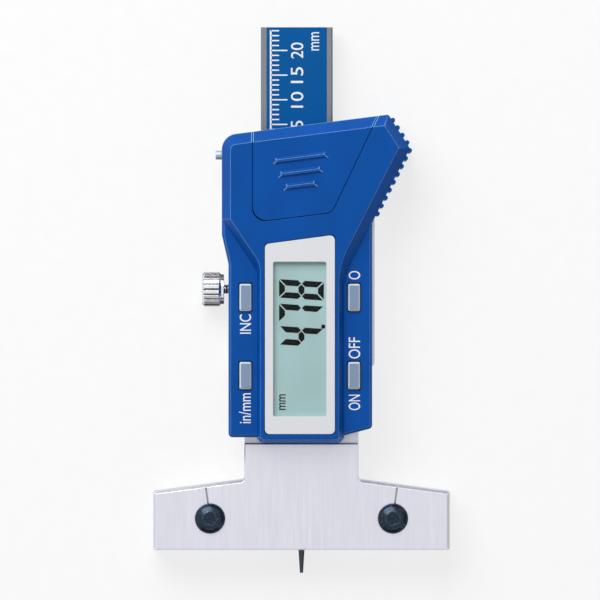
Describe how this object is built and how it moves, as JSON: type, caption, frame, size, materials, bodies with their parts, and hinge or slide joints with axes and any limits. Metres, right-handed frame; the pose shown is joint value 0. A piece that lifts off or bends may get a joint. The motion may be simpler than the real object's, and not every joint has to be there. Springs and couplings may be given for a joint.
{
  "type": "digital depth gauge",
  "caption": "Digital depth gauge: T-shaped steel base, sliding beam with needle probe, moulded display housing with buttons, battery cover and knurled lock screw.",
  "frame": {"origin": "where the probe's centre plane meets the measuring face and the back face", "axes": "+X to the right along the measuring face, +Y up the beam away from the measuring face, +Z from the back face to the display"},
  "size_m": [0.06, 0.1107, 0.0149],
  "materials": {
    "stainless_brushed": "vertically brushed stainless steel",
    "stainless_beam": "satin stainless steel",
    "blackened_steel": "black oxide steel",
    "needle_steel": "hardened ground steel",
    "screw_steel": "zinc-plated steel",
    "chrome_knob": "polished chrome plate",
    "brass": "plain brass",
    "nylon": "natural nylon",
    "blue_abs": "fine-textured moulded ABS",
    "label_film": "printed polyester film",
    "circuit_laminate": "glass-fibre laminate with green solder mask",
    "panel_grey": "printed light grey plastic",
    "clear_window": "clear acrylic",
    "lcd_glass": "liquid crystal display",
    "connector_rubber": "layered conductive rubber",
    "button_plastic": "grey-blue moulded plastic",
    "holder_plastic": "black moulded plastic",
    "cell_steel": "nickel-plated steel",
    "spring_plate": "nickel-plated spring bronze",
    "epoxy_black": "black epoxy"
  },
  "bodies": {
    "gauge_body": {"slider_frame": "stainless_brushed", "back_plate": "stainless_brushed", "base_front_plate": "stainless_brushed", "back_plate_screws": "screw_steel", "stop_screw": "blackened_steel", "base_screws": "blackened_steel", "gib_strip": "brass", "gib_set_screws": "screw_steel", "housing": "blue_abs", "housing_screws": "screw_steel", "battery": "cell_steel", "battery_holder": "holder_plastic", "battery_contact_negative": "spring_plate", "battery_contact_positive": "spring_plate", "display_bezel": "panel_grey", "display_window": "clear_window", "lcd_panel": "lcd_glass", "zebra_strips": "connector_rubber", "main_board": "circuit_laminate", "snap_domes": "spring_plate", "controller_chip": "epoxy_black"},
    "beam": {"beam": "stainless_beam", "scale_strip": "circuit_laminate", "scale_label": "label_film", "probe_needle": "needle_steel"},
    "lock_pad": {"lock_pad": "nylon"},
    "lock_screw": {"lock_screw": "chrome_knob"},
    "battery_cover": {"battery_cover": "blue_abs"},
    "button_inc": {"button_inc": "button_plastic"},
    "button_unit": {"button_unit": "button_plastic"},
    "button_zero": {"button_zero": "button_plastic"},
    "button_power": {"button_power": "button_plastic"}
  },
  "joints": [
    {"name": "beam_slide", "type": "slide", "parent": "gauge_body", "child": "beam", "axis": [0, -1, 0], "range_m": [-0.00478, 0.02022]},
    {"name": "lock_pad_slide", "type": "slide", "parent": "gauge_body", "child": "lock_pad", "axis": [1, 0, 0], "range_m": [-0.0004, 0.0002]},
    {"name": "lock_screw_turn", "type": "hinge", "parent": "lock_pad", "child": "lock_screw", "pos_m": [-0.0182, 0.0528, 0.0036], "axis": [1, 0, 0], "range_deg": [-361, 181]},
    {"name": "battery_cover_slide", "type": "slide", "parent": "gauge_body", "child": "battery_cover", "axis": [0, 1, 0], "range_m": [0, 0.016]},
    {"name": "button_inc_press", "type": "slide", "parent": "gauge_body", "child": "button_inc", "axis": [0, 0, -1], "range_m": [0, 0.0004], "stiffness_N_per_m": 800, "springref_m": -0.0003},
    {"name": "button_unit_press", "type": "slide", "parent": "gauge_body", "child": "button_unit", "axis": [0, 0, -1], "range_m": [0, 0.0004], "stiffness_N_per_m": 800, "springref_m": -0.0003},
    {"name": "button_zero_press", "type": "slide", "parent": "gauge_body", "child": "button_zero", "axis": [0, 0, -1], "range_m": [0, 0.0004], "stiffness_N_per_m": 800, "springref_m": -0.0003},
    {"name": "button_power_press", "type": "slide", "parent": "gauge_body", "child": "button_power", "axis": [0, 0, -1], "range_m": [0, 0.0004], "stiffness_N_per_m": 800, "springref_m": -0.0003}
  ],
  "couplings": [
    {"joint": "lock_screw_turn", "follows": "lock_pad_slide", "rad_per_m": 15708}
  ]
}
